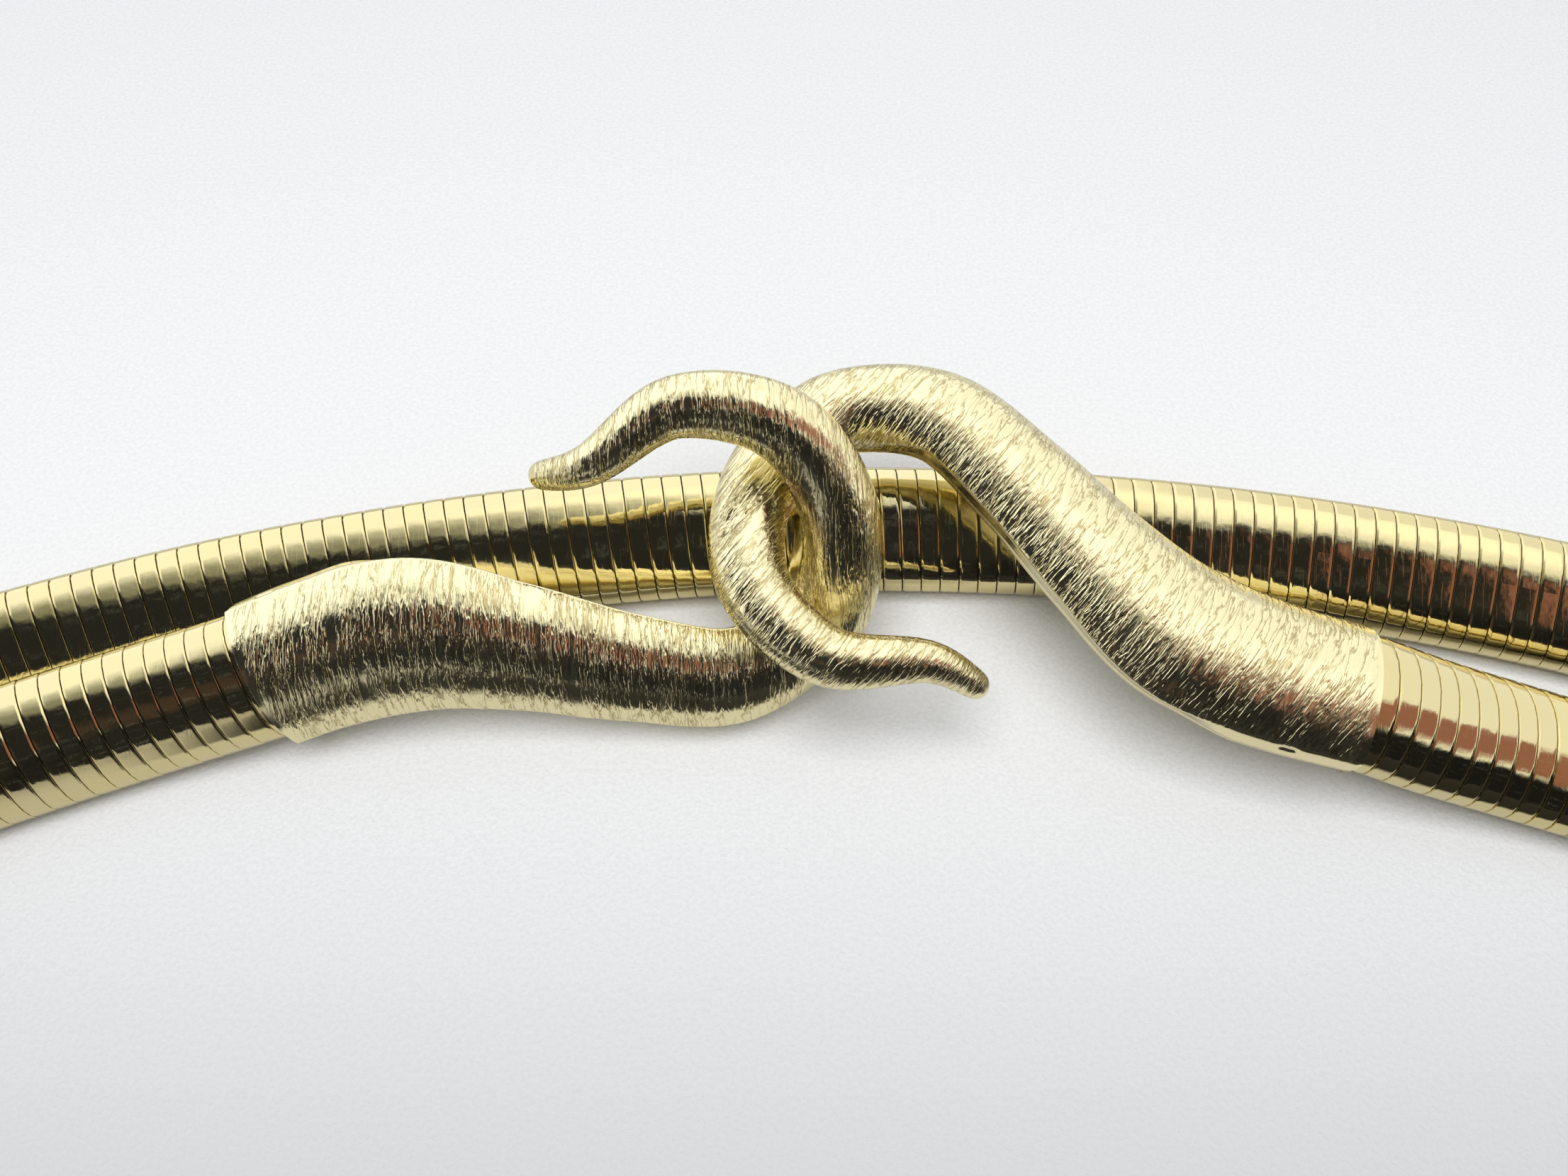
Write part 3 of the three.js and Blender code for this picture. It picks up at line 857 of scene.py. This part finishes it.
def grained_gold(name, across):
    """The front of a hook: pale satin plate over bark-like grain, which runs square to across."""
    material, tree, shader, position = new_material(name)
    wear = worn(tree, position, **WEAR["front"])
    size = (GRAIN_SPACING * MM, GRAIN_LENGTH * MM, GRAIN_LENGTH * MM)
    inputs = {"Vector": position, "Rotation": grain_turn(across), "Scale": size}
    laid = step(tree, "Mapping", inputs, vector_type="TEXTURE").outputs["Vector"]
    bark = step(tree, "Group", node_tree=grain_group)
    tree.links.new(laid, bark.inputs["Position"])
    bark.inputs["Waviness"].default_value = BARK["waviness"]
    cut = step(tree, "Attribute", attribute_name="grain_depth").outputs["Fac"]
    furrow = worked_out(tree, "MULTIPLY", bark.outputs["Furrow"], cut)
    tone = mixed(tree, wear["Dullness"], FRONT_TONES["plain"], FRONT_TONES["dull"])
    tone = mixed(tree, furrow, tone, FURROW_TONE)
    tree.links.new(tone, shader.inputs["Base Color"])
    rough = worked_out(tree, "ADD", wear["Roughness"], ROUGHNESS["front"])
    rough = worked_out(tree, "MULTIPLY_ADD", furrow, ADDED_ROUGHNESS["furrow"], rough)
    tree.links.new(rough, shader.inputs["Roughness"])
    height = worked_out(tree, "MULTIPLY", bark.outputs["Height"], cut)
    fine = bumped(tree, wear["Height"], BUMPS["hook_wear"])
    tree.links.new(bumped(tree, height, BUMPS["bark"], fine), shader.inputs["Normal"])
    return material


def smooth_gold():
    """The hooks' plain backs, rims and sockets."""
    material, tree, shader, position = new_material("smooth_gold")
    wear = worn(tree, position, **WEAR["back"])
    tone = mixed(tree, wear["Dullness"], BACK_TONES["plain"], BACK_TONES["dull"])
    tree.links.new(tone, shader.inputs["Base Color"])
    rough = worked_out(tree, "ADD", wear["Roughness"], ROUGHNESS["back"])
    tree.links.new(rough, shader.inputs["Roughness"])
    tree.links.new(bumped(tree, wear["Height"], BUMPS["hook_wear"]), shader.inputs["Normal"])
    return material


def reflected_area(tree, sideways, upwards, area):
    """1 inside an area of the surround, falling softly to 0 at its bounds."""
    shares = []
    soft = math.radians(area["soft"] / 2)
    for angle, low, high in ((sideways, area["left"], area["right"]), (upwards, area["low"], area["high"])):
        middle, half = math.radians((low + high) / 2), math.radians((high - low) / 2)
        off = worked_out(tree, "SUBTRACT", angle, middle)
        off = worked_out(tree, "ABSOLUTE", off)
        shares.append(eased_map(tree, off, half + soft, half - soft))
    return worked_out(tree, "MULTIPLY", shares[0], shares[1])


def surround():
    """An even pale grey studio, in which the metal reflects the areas that are listed above."""
    world = bpy.data.worlds.new("surround")
    bpy.context.scene.world = world
    world.use_nodes = True
    tree = world.node_tree
    sight = step(tree, "TexCoord").outputs["Generated"]
    ripple = step(tree, "TexNoise", {"Vector": sight, "Scale": 3.5, "Detail": 4}).outputs["Color"]
    ripple = step(tree, "SeparateXYZ", {0: about_nothing(tree, ripple)}).outputs
    parts = step(tree, "SeparateXYZ", {0: sight}).outputs
    sideways = worked_out(tree, "ARCSINE", parts["X"])
    forwards = worked_out(tree, "MULTIPLY", parts["Y"], -1)
    upwards = worked_out(tree, "ARCTAN2", parts["Z"], forwards)
    sideways = worked_out(tree, "MULTIPLY_ADD", ripple["X"], RIPPLE["sideways"], sideways)
    upwards = worked_out(tree, "MULTIPLY_ADD", ripple["Y"], RIPPLE["upwards"], upwards)
    colour = (*REFLECTED_LIGHT, 1)
    for area in REFLECTED_AREAS:
        share = reflected_area(tree, sideways, upwards, area)
        colour = mixed(tree, share, colour, (*area["colour"], 1))
    blotch = step(tree, "TexNoise", {"Vector": sight, "Scale": 14, "Detail": 5}).outputs["Fac"]
    blotch = eased_map(tree, blotch, FLECKS["from"], FLECKS["full"])
    inputs = {"Factor": blotch, "A": colour, "B": FLECKS["colour"]}
    colour = step(tree, "Mix", inputs, data_type="RGBA", blend_type="ADD").outputs["Result"]
    ray = step(tree, "LightPath").outputs["Is Glossy Ray"]
    seen = mixed(tree, ray, (*EVEN_LIGHT, 1), colour)
    tree.links.new(seen, tree.nodes["Background"].inputs["Color"])


def softbox():
    """A large soft lamp high above the belt, which the metal doesn't show."""
    light = bpy.data.lights.new("softbox", "AREA")
    light.size = SOFTBOX["size"]
    light.energy = SOFTBOX["power"]
    lamp = bpy.data.objects.new("softbox", light)
    lamp.location = SOFTBOX["at"]
    lamp.rotation_euler = Vector(SOFTBOX["at"]).to_track_quat("Z", "Y").to_euler()
    lamp.visible_glossy = False
    bpy.context.scene.collection.objects.link(lamp)


def studio():
    bpy.ops.mesh.primitive_plane_add(size=TABLE_SIZE)
    floor = bpy.context.object
    floor.name = "floor"
    material = bpy.data.materials.new("pale_table")
    material.use_nodes = True
    tree = material.node_tree
    shader = tree.nodes["Principled BSDF"]
    shader.inputs["Roughness"].default_value = ROUGHNESS["table"]
    position = step(tree, "TexCoord").outputs["Object"]
    tooth = step(tree, "TexNoise", {"Vector": position, "Scale": 2200, "Detail": 3}).outputs["Fac"]
    tone = mixed(tree, eased_map(tree, tooth, TOOTH["from"], TOOTH["full"]), *TABLE_TONES)
    place = step(tree, "SeparateXYZ", {0: position}).outputs
    near = eased_map(tree, place["Y"], NEAR_SHADE["from"], NEAR_SHADE["full"])
    tone = mixed(tree, near, tone, TABLE_SHADE)
    # Painted reflection: where the metal mirrors the table it takes a darker tone, near black where mirrored
    # from far off, shallowly, in front of the belt.
    ray = step(tree, "LightPath").outputs
    facing = step(tree, "LayerWeight", {"Blend": 0.5}).outputs["Facing"]
    dark = eased_map(tree, ray["Ray Length"], MIRRORED_TABLE["pale"], MIRRORED_TABLE["dark"])
    for value, start, full in (
        (facing, MIRRORED_TABLE["steep"], MIRRORED_TABLE["shallow"]),
        (place["X"], DARK_TABLE["left"], DARK_TABLE["from_left"]),
        (place["Y"], DARK_TABLE["back"], DARK_TABLE["from_back"]),
    ):
        share = eased_map(tree, value, start, full)
        dark = worked_out(tree, "MULTIPLY", dark, share)
    mirrored = mixed(tree, dark, MIRRORED_TONES["pale"], MIRRORED_TONES["dark"])
    inputs = {"Factor": ray["Is Glossy Ray"], "A": tone, "B": mirrored}
    tone = step(tree, "Mix", inputs, data_type="RGBA", blend_type="MULTIPLY").outputs["Result"]
    tree.links.new(tone, shader.inputs["Base Color"])
    inputs = {"Height": tooth, "Strength": TOOTH["strength"], "Distance": BUMPS["tooth"]}
    tree.links.new(step(tree, "Bump", inputs).outputs["Normal"], shader.inputs["Normal"])
    floor.data.materials.append(material)
    surround()
    softbox()


def photo_camera():
    camera = bpy.data.objects.new("photo_view", bpy.data.cameras.new("photo_view"))
    bpy.context.scene.collection.objects.link(camera)
    camera.data.sensor_width = SENSOR_WIDTH
    camera.data.lens = SENSOR_WIDTH * FOCAL_PIXELS / PHOTO_WIDTH
    camera.data.clip_start = 0.005
    back = Vector((0, -math.cos(VIEW_ELEVATION), math.sin(VIEW_ELEVATION)))
    camera.location = (AIM + VIEW_DISTANCE * back) * MM
    camera.rotation_euler = (math.pi / 2 - VIEW_ELEVATION, 0, 0)
    bpy.context.scene.camera = camera


bpy.context.scene.view_settings.view_transform = "Standard"
photo_camera()
nothing_selected()
studio()
wear_group = fine_wear_group()
grain_group = bark_grain_group()
back_finish = smooth_gold()
for name, place in HOOK_PLACES.items():
    casting = hook(name, place, grained_gold(name + "_grained_gold", place["across"]), back_finish)
    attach(casting, "root")
    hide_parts(name)
strap = coil()
strap.data.materials.append(polished_gold())
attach(strap, "root")
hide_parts("coil_strap")
